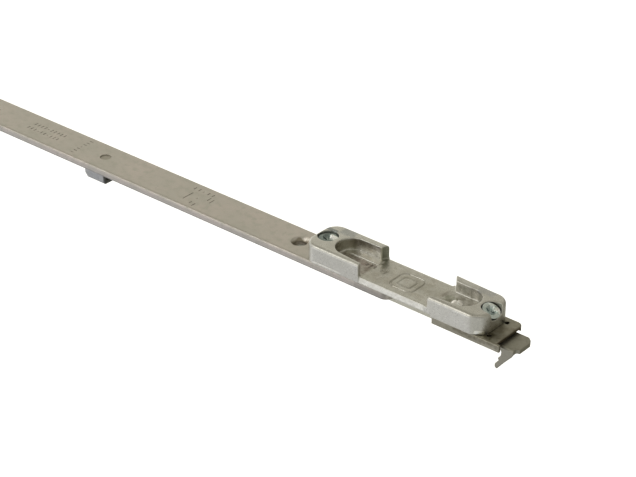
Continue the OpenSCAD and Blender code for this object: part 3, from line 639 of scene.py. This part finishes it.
def striker_field(X, Y, Z):
    out = rrect(X, Y, STR_X0, STR_X1, -STR_W / 2, STR_W / 2, 5.3)
    # left block with its pocket
    left = lift(out, Z, FACE_T, Z_RIM, top=1.2)
    left = smax(left, X - STRIKE, 0.5)
    pl = np.minimum(disc(X, Y, STRIKE - 9.4, -0.4, POCKET_R), poly2(X, Y, [
        (STRIKE - 9.4, -POCKET_R - 0.4), (STRIKE - 0.9, -POCKET_R - 1.15), (STRIKE - 0.3, -POCKET_R - 1.6),
        (STRIKE - 0.1, -STR_W / 2 - 1), (STRIKE + 3, -STR_W / 2 - 1), (STRIKE + 3, STR_W / 2 + 0.2),
        (STRIKE - 0.15, STR_W / 2 + 0.2), (STRIKE - 1.5, POCKET_R - 0.3), (STRIKE - 9.4, POCKET_R - 0.4)]))
    left = smax(left, -lift(pl, Z, Z_FLOOR, 30, bot=0.5), 0.35)
    # plate between the blocks
    plate = smax(Z - Z_FLOOR, FACE_T - Z, 0.3)
    n = math.hypot(2.3, 0.45)
    plate = smax(plate, (-(Y + 8.5) * 2.3 + (Z - FACE_T) * 0.45) / n, 0.35)
    plate = smax(plate, ((Y - 8.0) * 2.3 + (Z - FACE_T) * 0.25) / math.hypot(2.3, 0.25), 0.35)
    plate = np.maximum(plate, np.maximum(STRIKE - 7 - X, X - STRIKE - 34))
    # step in the floor of the left pocket
    step = np.maximum(rrect(X, Y, STRIKE - 19, STRIKE + 0.2, 1.9, 5.3, 0.3), np.maximum(Z - Z_FLOOR - 0.3, Z_FLOOR - 0.6 - Z))
    step = np.maximum(step, np.minimum(disc(X, Y, STRIKE - 9.4, -0.4, POCKET_R), STRIKE - 9.4 - X))
    # right block, on the sleeve
    # its rear wall rises a little towards the pocket's mouth
    rise = np.clip((Z - 5.5) / 3, 0, 1) * (0.15 + 0.4 * np.clip((Y - 2) / 4, 0, 1) * np.clip((STRIKE + 43 - X) / 14, 0, 1))
    right = lift(out, Z - rise, SLEEVE_TOP, Z_RIM_R, top=1.2)
    right = smax(right, STRIKE + 27 - X, 0.5)
    # flat on the front corner
    right = smax(right, 0.6 * (X - STRIKE - 50.4) - 0.8 * (Y + 4.97) - 0.42, 0.45)
    c = STRIKE + 37.8
    pr = np.minimum(disc(X, Y, c, -0.4, POCKET_R), poly2(X, Y, [
        (c, POCKET_R - 0.6), (STRIKE + 30.3, POCKET_R - 0.6), (STRIKE + 27.6, STR_W / 2 + 0.2),
        (STRIKE + 25, STR_W / 2 + 0.2), (STRIKE + 25, -STR_W / 2 - 1), (STRIKE + 28.4, -STR_W / 2 - 1),
        (STRIKE + 28.7, -POCKET_R - 1.7), (STRIKE + 29.4, -POCKET_R - 1.35), (c, -POCKET_R - 0.4)]))
    right = smax(right, -lift(pr, Z, Z_FLOOR, 30, bot=0.5), 0.35)
    right = np.maximum(right, -np.maximum(X - (SLEEVE_X0 - 0.2), Z - FACE_T))
    body = np.minimum(np.minimum(left, plate), right)
    body = np.minimum(body, step)
    # a shallow witness line low on the front of the left block
    line = np.maximum(np.abs(X - (STRIKE - 14.5)) - 6.5, np.abs(Z - 3.55 - 0.010 * (X - STRIKE + 14.5)) - 0.14)
    body = smax(body, -np.maximum(line, Y + 8.38), 0.1)
    # plain ticks and a sunk frame between the blocks
    for i in range(6):
        if i != 3:
            tick = np.maximum(np.abs(X - STRIKE + 3.0 - 1.55 * i) - 0.27, np.abs(Y - 0.2) - (1.25 if i % 2 else 0.8))
            body = smax(body, -np.maximum(tick, Z_FLOOR - 0.36 - Z), 0.06)
    frame_line = np.abs(rrect(X, Y, STRIKE + 9.7, STRIKE + 19.4, -5.3, 4.2, 2.4)) - 0.26
    body = smax(body, -np.maximum(frame_line, Z_FLOOR - 0.3 - Z), 0.06)
    inner_line = np.abs(rrect(X, Y, STRIKE + 11.9, STRIKE + 17.2, -3.2, 2.0, 1.0)) - 0.22
    body = smax(body, -np.maximum(inner_line, Z_FLOOR - 0.26 - Z), 0.06)
    # the straight screw's seat
    r = np.sqrt((X - SCR_L) ** 2 + Y ** 2)
    seat = np.minimum(np.maximum(r - 3.65, Z_RIM - 1.7 - Z), np.maximum((r - 2.1 - (Z - Z_RIM + 3.25)) * 0.707, Z - Z_RIM + 1.7))
    seat = np.minimum(seat, r - 2.1)
    body = smax(body, -seat, 0.3)
    # the leaning screw's seat
    lx, lz = lean_frame(X, Z)
    r = np.sqrt(lx ** 2 + Y ** 2)
    seat = np.minimum(np.maximum(r - 3.6, -0.5 - lz), np.maximum((r - 2.1 - (lz + 2.0)) * 0.707, lz + 0.5))
    seat = np.minimum(seat, np.maximum(r - 2.1, lz - 1))
    body = smax(body, -seat, 0.25)
    # the guide stud's hole
    body = np.maximum(body, -disc(X, Y, STUD_X, 0, 1.75))
    return body


def recess(x, y, z, top, arm, depth, half, turn):
    """A cross recess that narrows towards its bottom."""
    a = math.radians(turn)
    u, v = x * math.cos(a) + y * math.sin(a), -x * math.sin(a) + y * math.cos(a)
    d = None
    for p, q in ((u, v), (v, u)):
        w = np.maximum(np.abs(p) - arm - (z - top) * 0.55, np.abs(q) - half - (z - top) * 0.10)
        w = np.maximum(w, top - depth - z)
        d = w if d is None else np.minimum(d, w)
    cone = np.sqrt(u * u + v * v) - arm * 0.62 - (z - top) * 0.5
    dish = (np.sqrt(u * u + v * v) - arm * 0.98 - (z - top) * 1.15) * 0.66
    return np.minimum(np.minimum(d, dish), np.maximum(cone, top - depth - z))


def screw_field(r_head, r_shank, h_rim, h_cone, z_bot, crown, arm, depth, half, turn, base_z):
    """A countersunk screw along z; its rim's top is at base_z."""
    def f(x, y, z):
        r = np.sqrt(x * x + y * y)
        rim = lift(r - r_head, z, base_z - h_rim, base_z, top=0.18, bot=0.05)
        R = (r_head ** 2 + crown ** 2) / (2 * crown)
        cap = np.maximum(np.sqrt(r * r + (z - (base_z + crown - R)) ** 2) - R, base_z - 0.3 - z)
        cap = np.maximum(cap, r - r_head + 0.25)
        k = (r_head - r_shank) / h_cone
        cone = np.maximum((r - r_head + 0.1 - (z - (base_z - h_rim)) * k) / math.sqrt(1 + k * k), np.maximum(z - (base_z - h_rim + 0.02), base_z - h_rim - h_cone - z))
        shank = lift(r - r_shank, z, z_bot, base_z - h_rim - h_cone + 0.3, bot=0.25)
        d = np.minimum(np.minimum(smin(rim, cap, 0.1), cone), shank)
        return smax(d, -recess(x, y, z, base_z + crown * 0.6, arm, depth, half, turn), 0.12)
    return f


def stud_field(X, Y, Z):
    x = X - STUD_X
    r = np.sqrt(x * x + Y * Y)
    dome = np.maximum(np.sqrt(r * r + (Z - (Z_FLOOR - 2.1)) ** 2) - 3.0, Z_FLOOR + 0.02 - Z)
    dome = smax(dome, r - 2.3, 0.15)
    shaft = np.maximum(r - 1.7, np.maximum(Z - Z_FLOOR - 0.2, ROD_BOT - 0.3 - Z))
    foot = lift(r - 3.2, Z, ROD_BOT - 1.25, ROD_BOT - 0.15, top=0.15, bot=0.25)
    d = np.minimum(np.minimum(dome, shaft), foot)
    a = math.radians(47)
    v = x * math.sin(a) + Y * math.cos(a)
    slot = np.maximum(np.abs(v) - 0.42, Z_FLOOR + 0.02 - Z)
    return smax(d, -slot, 0.12)


def slotted_hook_field(X, Y, Z):
    """The right rod's end, with the slot that the guide stud runs in."""
    end = -7.22 - 1.95
    slot = np.where(X > end, np.sqrt((X - end) ** 2 + Y * Y), np.abs(Y)) - 1.78
    return np.maximum(hook_field(X, Y, Z), -slot)


def guide_field(x0, s):
    def f(X, Y, Z):
        x = (X - x0) * s
        prof = poly2(x, Z, [(-5.4, -3.1), (-4.1, -4.7), (5.3, -4.7), (4.2, 0.0), (-5.4, 0.0)])
        body = smax(prof, np.abs(Y) - 6, 0.45)
        body = np.maximum(body, Z)
        slot = smax(np.abs(Y) - ROD_W / 2 - 0.15, -3.4 - Z, 0.5)
        body = smax(body, -slot, 0.3)
        boss = lift(disc(X, Y, x0, 0, 3.0), Z, -3.9, ROD_BOT - 0.15, top=0.2)
        body = smin(body, boss, 0.5)
        return np.maximum(body, -disc(X, Y, x0, 0, 1.5))
    return f


def sleeve_field(X, Y, Z):
    out = rrect(X, Y, SLEEVE_X0 - 6, SLEEVE_X1, -FACE_W / 2, FACE_W / 2, 2.0)
    d = lift(out, Z, -0.8, SLEEVE_TOP, top=0.45, bot=0.12)
    d = np.maximum(d, SLEEVE_X0 - X)
    nose = lift(rrect(X, Y, SLEEVE_X1 - 4, STRIKE + 57.3, -FACE_W / 2, -FACE_W / 2 + 1, 0.35), Z, -0.8, SLEEVE_TOP, top=0.35, bot=0.12)
    d = np.minimum(d, nose)
    inner = smax(np.abs(Y) - 7, Z - (SLEEVE_TOP - 1.2), 0.5)
    d = smax(d, -inner, 0.15)
    d = np.maximum(d, -disc(X, Y, STUD_X, 0, 1.75))
    lx, lz = lean_frame(X, Z)
    d = np.maximum(d, -(np.sqrt(lx ** 2 + Y ** 2) - 2.02))
    for s in (-1, 1):
        d = smax(d, -disc(X, Y, STRIKE + 51.1, s * 4.9, 0.8), 0.12)
    return d


def hook_field(X, Y, Z):
    """The hooked end of a rod, with its tip at X = 0."""
    out = poly2(X, Y, [(-13, -5), (-1.9, -5), (-1.4, -3.6), (-0.05, -3.2), (-0.05, 2.4), (-0.9, 3.9), (-2.2, 5), (-13, 5)])
    plate = lift(out, Z, ROD_BOT, ROD_TOP, top=0.2, bot=0.12)
    prof = poly2(X, Z, [(-6.3, -0.12), (-1.7, -0.12), (-1.55, -1.3), (-1.75, -2.1), (-2.5, -3.4), (-3.8, -4.9),
                        (-5.2, -6.5), (-7.45, -9.35), (-7.85, -9.4), (-8.4, -8.9), (-8.4, -7.7), (-7.6, -6.7),
                        (-6.95, -5.9), (-7.35, -5.4), (-7.2, -5.0), (-6.3, -3.9), (-6.1, -2.4)])
    tab = smax(prof, np.maximum(-5 - Y, Y + 3.7), 0.25)
    d = smin(plate, tab, 0.9)
    a, b = -Y - 5 + 0.9, Z - ROD_TOP + 0.9
    env = np.sqrt(np.maximum(a, 0) ** 2 + np.maximum(b, 0) ** 2) + np.minimum(np.maximum(a, b), 0) - 0.9
    d = np.maximum(d, env)
    d = np.maximum(d, np.maximum(-12.5 - X, X + 0.02))
    return d


# --------------------------------------------------------------------------
# Building
# --------------------------------------------------------------------------
def cut_off(ob, x, keep_left):
    """Keeps one side of the plane at x and closes the cut."""
    bm = bmesh.new()
    bm.from_mesh(ob.data)
    geom = list(bm.verts) + list(bm.edges) + list(bm.faces)
    bmesh.ops.bisect_plane(bm, geom=geom, dist=1e-7, plane_co=(x * MM, 0, 0), plane_no=(1, 0, 0),
                           clear_outer=keep_left, clear_inner=not keep_left)
    edges = [e for e in bm.edges if e.is_boundary]
    bmesh.ops.holes_fill(bm, edges=edges, sides=0)
    bm.to_mesh(ob.data)
    bm.free()


MARKS = [
    # plain ticks and dots: x, y, length along x, length along y
    *[(72.6 + 1.75 * i, 1.6, 0.34, 1.7) for i in range(10) if i not in (4,)],
    *[(72.2 + 1.75 * i, -1.9, 0.34, 1.5) for i in range(10) if i not in (3, 6)],
    *[(99.4, -5.2 + 1.7 * i, 1.6, 0.34) for i in range(7) if i not in (3,)],
    *[(154.0 + 2.2 * i, 4.0, 0.36, 1.6) for i in range(5) if i != 2],
    (155.6, -1.6, 0.36, 5.4), (163.4, 1.2, 0.36, 2.0), (165.2, 0.6, 0.36, 2.6), (159.6, -4.6, 0.36, 1.4), (161.6, -5.2, 0.36, 2.2),
]
DOTS = [(79.6, 1.6, 0.45), (77.5, -1.9, 0.45), (82.7, -1.9, 0.45), (99.4, -0.1, 0.45), (158.4, 4.0, 0.5), (159.8, -0.9, 0.5),
        (143.0, -4.9, 0.4)]


def stamp(ob):
    """Presses the plain marks into the face of the plate."""
    bm = bmesh.new()
    deep = 0.16
    for x, y, lx, ly in MARKS:
        m = Matrix.Translation((x * MM, y * MM, FACE_T * MM)) @ Matrix.Diagonal((lx * MM, ly * MM, 2 * deep * MM, 1))
        bmesh.ops.create_cube(bm, size=1.0, matrix=m)
    for x, y, r in DOTS:
        m = Matrix.Translation((x * MM, y * MM, FACE_T * MM))
        bmesh.ops.create_cone(bm, cap_ends=True, segments=20, radius1=r * 0.7 * MM, radius2=r * 1.3 * MM,
                              depth=2 * deep * MM, matrix=m)
    me = bpy.data.meshes.new("cutter")
    bm.to_mesh(me)
    bm.free()
    cut = bpy.data.objects.new("cutter", me)
    scene.collection.objects.link(cut)
    ws = [m for m in ob.modifiers]
    for m in ws:
        ob.modifiers.remove(m)
    mod = ob.modifiers.new("stamp", "BOOLEAN")
    mod.operation = "DIFFERENCE"
    mod.solver = "EXACT"
    mod.object = cut
    dg = bpy.context.evaluated_depsgraph_get()
    dg.update()
    me2 = bpy.data.meshes.new_from_object(ob.evaluated_get(dg))
    ob.modifiers.clear()
    ob.data = me2
    bpy.data.objects.remove(cut)
    mod = ob.modifiers.new("normals", "WEIGHTED_NORMAL")
    mod.keep_sharp = True
    mod.weight = 60


def build(mat):
    ob = field_piece("striker_cast", striker_field, (214.9, -9.1, 1.2), (291.5, 9.1, 10.5), 0.18, keep=0.45)
    fit(ob, "striker", mat["striker_zinc"])

    f = screw_field(3.55, 2.0, 0.6, 1.5, 0.15, 0.3, 1.9, 1.5, 0.36, 20, Z_RIM - 0.85)
    ob = field_piece("striker_screw_left_turned", lambda X, Y, Z: f(X - SCR_L, Y, Z),
                     (SCR_L - 3.8, -3.8, -0.1), (SCR_L + 3.8, 3.8, 9.2), 0.09, keep=0.35)
    fit(ob, "striker_screw_left", mat["screw_dark"])

    f2 = screw_field(3.2, 2.0, 0.5, 1.3, -7, 0.35, 2.0, 1.5, 0.46, 35, 0.12)
    ob = field_piece("striker_screw_right_turned", f2, (-3.6, -3.6, -7.2), (3.6, 3.6, 0.8), 0.09, keep=0.35)
    ob.data.transform(Matrix.Translation((SCR_R * MM, 0, SCR_RZ * MM)) @ Matrix.Rotation(math.radians(LEAN), 4, "Y"))
    fit(ob, "striker_screw_right", mat["screw_bright"])

    ob = field_piece("guide_stud_turned", stud_field, (STUD_X - 3.5, -3.5, -3.1), (STUD_X + 3.5, 3.5, 6.2), 0.08, keep=0.4)
    fit(ob, "guide_stud", mat["screw_bright"])

    ob = field_piece("end_sleeve_formed", sleeve_field, (270.2, -8.5, -1.3), (298.2, 8.5, 2.4), 0.14, keep=0.4)
    fit(ob, "end_sleeve", mat["sleeve_steel"])

    for node, x0, s in (("guide_block_right", GUIDE_R, 1), ("guide_block_left", GUIDE_L, -1)):
        ob = field_piece(node + "_cast", guide_field(x0, s), (x0 - 6, -6.5, -5.2), (x0 + 6, 6.5, 0.4), 0.13, keep=0.45)
        fit(ob, node, mat["block_zinc"])

    soft = {
        "faceplate": (0.12, "faceplate_steel"), "guide_rivets": (0.12, "rivet_steel"),
        "case_plate_front": (0.12, "case_steel"), "case_plate_rear": (0.12, "case_steel"),
        "case_floor": (0.15, "case_steel"), "case_spacers": (0.1, "rivet_steel"),
        "lever_housing": (0.18, "housing_zinc"), "housing_screws": (0.06, "screw_bright"),
        "lever_axle": (0.15, "screw_bright"), "lever_catch": (0.15, "catch_plastic"),
        "pinion_axle": (0.12, "screw_bright"), "lever": (0.25, "lever_zinc"),
        "reversing_pinion": (0.06, "gear_steel"), "right_rack": (0.08, "gear_steel"),
        "right_drive_rod": (0.12, "rod_steel"), "right_rack_rivets": (0.08, "rivet_steel"),
        "left_rack": (0.08, "gear_steel"), "left_drive_rod": (0.12, "rod_steel"),
        "left_rack_rivets": (0.08, "rivet_steel"),
    }
    for node, (w, slot) in soft.items():
        ob = soft_copy(node, w)
        if node == "faceplate":
            stamp(ob)
        if node in ("right_drive_rod", "left_drive_rod"):
            right = node == "right_drive_rod"
            tip = 302.5 if right else -132.0
            cut_off(ob, tip - 12.5 if right else tip + 12.5, right)
            end = field_piece(node + "_hook", slotted_hook_field if right else hook_field, (-13.0, -5.5, -10.0), (0.4, 5.5, 0.4), 0.13, keep=0.45)
            if not right:
                # the same end, turned about: mirrored, with its faces turned back out
                end.data.transform(Matrix.Diagonal((-1, 1, 1, 1)))
                end.data.flip_normals()
            end.data.transform(Matrix.Translation((tip * MM, 0, 0)))
            fit(end, node, mat[slot])
        fit(ob, node, mat[slot])


# --------------------------------------------------------------------------
# Light and floor
# --------------------------------------------------------------------------
def make_world():
    w = bpy.data.worlds.new("studio")
    scene.world = w
    w.use_nodes = True
    nt = w.node_tree
    nt.nodes.clear()
    out = nt.nodes.new("ShaderNodeOutputWorld")
    bg = nt.nodes.new("ShaderNodeBackground")
    nt.links.new(bg.outputs[0], out.inputs[0])
    tc = nt.nodes.new("ShaderNodeTexCoord")
    d = tc.outputs["Generated"]
    sep = nt.nodes.new("ShaderNodeSeparateXYZ")
    nt.links.new(d, sep.inputs[0])

    def add(a, b):
        n = nt.nodes.new("ShaderNodeMix")
        n.data_type = "RGBA"
        n.blend_type = "ADD"
        n.inputs[0].default_value = 1
        nt.links.new(a, n.inputs[6])
        nt.links.new(b, n.inputs[7])
        return n.outputs[2]

    def tint(v, col):
        n = nt.nodes.new("ShaderNodeMix")
        n.data_type = "RGBA"
        n.inputs[0].default_value = 1
        n.blend_type = "MULTIPLY"
        c = nt.nodes.new("ShaderNodeCombineColor")
        for i in range(3):
            nt.links.new(v, c.inputs[i])
        nt.links.new(c.outputs[0], n.inputs[6])
        n.inputs[7].default_value = (*col, 1)
        return n.outputs[2]

    def band(v, a, b, lo, hi):
        n = nt.nodes.new("ShaderNodeMapRange")
        n.interpolation_type = "SMOOTHSTEP"
        nt.links.new(v, n.inputs[0])
        for i, x in enumerate((a, b, lo, hi)):
            n.inputs[i + 1].default_value = x
        return n.outputs[0]

    def spot(direction, inner, outer):
        v = Vector(direction).normalized()
        n = nt.nodes.new("ShaderNodeVectorMath")
        n.operation = "DOT_PRODUCT"
        nt.links.new(d, n.inputs[0])
        n.inputs[1].default_value = v
        return band(n.outputs[1], math.cos(math.radians(outer)), math.cos(math.radians(inner)), 0, 1)

    total = tint(band(sep.outputs[2], -1.0, 1.0, 1, 1), WORLD_BASE)
    for direction, inner, outer, col in WORLD_SPOTS:
        total = add(total, tint(spot(direction, inner, outer), col))
    for a, b, col in WORLD_BANDS:
        total = add(total, tint(band(sep.outputs[2], a, b, 0, 1), col))
    nt.links.new(total, bg.inputs[0])
    bg.inputs[1].default_value = 1.0


WORLD_BASE = (0.125, 0.125, 0.105)
WORLD_SPOTS = [
    # direction, full inside this angle, none outside that, colour
    ((-0.56, 0.66, 0.12), 10, 40, (0.27, 0.26, 0.225)),    # pale background, back left
    ((-0.97, 0.20, 0.07), 8, 34, (0.36, 0.36, 0.33)),      # and left
    ((-0.33, -0.80, -0.52), 32, 84, (0.50, 0.50, 0.48)),   # cool front, from below
    ((-0.56, -0.66, -0.50), 10, 45, (0.00, -0.01, 0.03)),
    ((-0.56, -0.80, -0.20), 5, 18, (0.80, 0.80, 0.79)),    # bright front horizon
    ((-0.56, -0.63, 0.54), 9, 21, (1.5, 1.48, 1.42)),     # soft box, front left
    ((0.59, -0.49, 0.64), 5, 22, (0.45, 0.44, 0.41)),      # soft box by the camera
    ((0.56, 0.66, -0.50), 14, 56, (0.20, 0.19, 0.15)),     # far end of the room
    ((-0.62, 0.72, -0.32), 12, 50, (0.42, 0.42, 0.40)),    # walls of the room, seen from behind
    ((-0.95, 0.05, -0.35), 12, 50, (0.40, 0.40, 0.39)),
    ((0.96, -0.20, -0.30), 12, 46, (0.30, 0.30, 0.28)),
]
# height of the direction, from none to full, colour
WORLD_BANDS = [(-0.05, 0.45, (0.325, 0.31, 0.262))]


def make_floor():
    me = bpy.data.meshes.new("floor")
    s = 6.0
    z = cad_lo[2] - 0.0002
    me.from_pydata([(-s, -s, z), (s, -s, z), (s, s, z), (-s, s, z)], [], [(0, 1, 2, 3)])
    ob = bpy.data.objects.new("floor", me)
    scene.collection.objects.link(ob)
    t = Tree("floor")
    t.sh.inputs["Base Color"].default_value = (0.85, 0.85, 0.85, 1)
    t.sh.inputs["Roughness"].default_value = 0.9
    t.sh.inputs["Emission Color"].default_value = (1, 1, 1, 1)
    t.sh.inputs["Emission Strength"].default_value = 0.85
    me.materials.append(t.mat)
    ob.visible_glossy = False
    ob.visible_diffuse = False
    ob.visible_shadow = False


make_camera()
make_world()
make_floor()
MAT = make_materials()
build(MAT)
scene.view_settings.view_transform = "Standard"
scene.view_settings.look = "None"
scene.cycles.use_denoising = True
